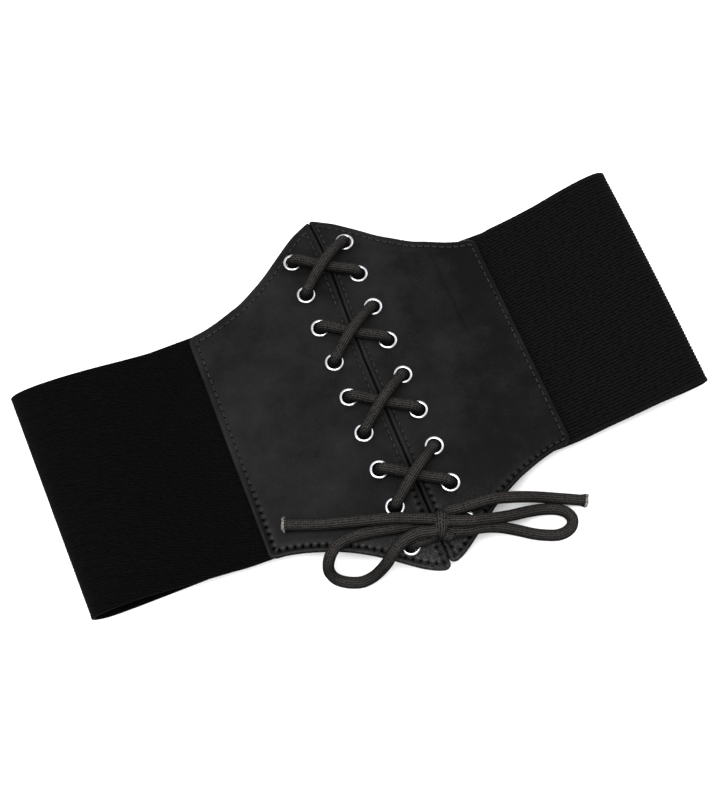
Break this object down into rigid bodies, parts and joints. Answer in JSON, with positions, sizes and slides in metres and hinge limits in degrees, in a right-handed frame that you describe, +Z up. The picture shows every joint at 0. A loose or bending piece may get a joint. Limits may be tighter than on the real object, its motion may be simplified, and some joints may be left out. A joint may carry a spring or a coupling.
{
  "type": "corset belt",
  "caption": "Lace-up corset belt: two pointed leather panels joined by crossed lacing with a bow, on a wide closed elastic waistband, lying flat.",
  "frame": {"origin": "middle of the belt's outline, on the surface that it lies on, the bow's loose loops and tails left out", "axes": "+X along the belt towards the right-hand fold as it is seen from the front, +Y towards its upper edge, +Z up through the laced front"},
  "size_m": [0.2656, 0.1642, 0.0205],
  "materials": {
    "elastic_webbing": "matt ribbed woven elastic",
    "black_leather": "semi-matt smooth coated leather",
    "nickel_eyelet": "polished nickel plate",
    "braided_lace": "matt braided cord"
  },
  "bodies": {
    "root": {"elastic_band": "elastic_webbing", "left_panel": "black_leather", "right_panel": "black_leather", "eyelet_left_1": "nickel_eyelet", "eyelet_left_2": "nickel_eyelet", "eyelet_left_3": "nickel_eyelet", "eyelet_left_4": "nickel_eyelet", "eyelet_left_5": "nickel_eyelet", "eyelet_left_6": "nickel_eyelet", "eyelet_left_7": "nickel_eyelet", "eyelet_left_8": "nickel_eyelet", "eyelet_left_9": "nickel_eyelet", "eyelet_right_1": "nickel_eyelet", "eyelet_right_2": "nickel_eyelet", "eyelet_right_3": "nickel_eyelet", "eyelet_right_4": "nickel_eyelet", "eyelet_right_5": "nickel_eyelet", "eyelet_right_6": "nickel_eyelet", "eyelet_right_7": "nickel_eyelet", "eyelet_right_8": "nickel_eyelet", "eyelet_right_9": "nickel_eyelet", "threaded_lace": "braided_lace", "bow_knot": "braided_lace", "bow_loop_left": "braided_lace", "bow_loop_right": "braided_lace", "bow_tail_left": "braided_lace", "bow_tail_right": "braided_lace"}
  },
  "joints": []
}
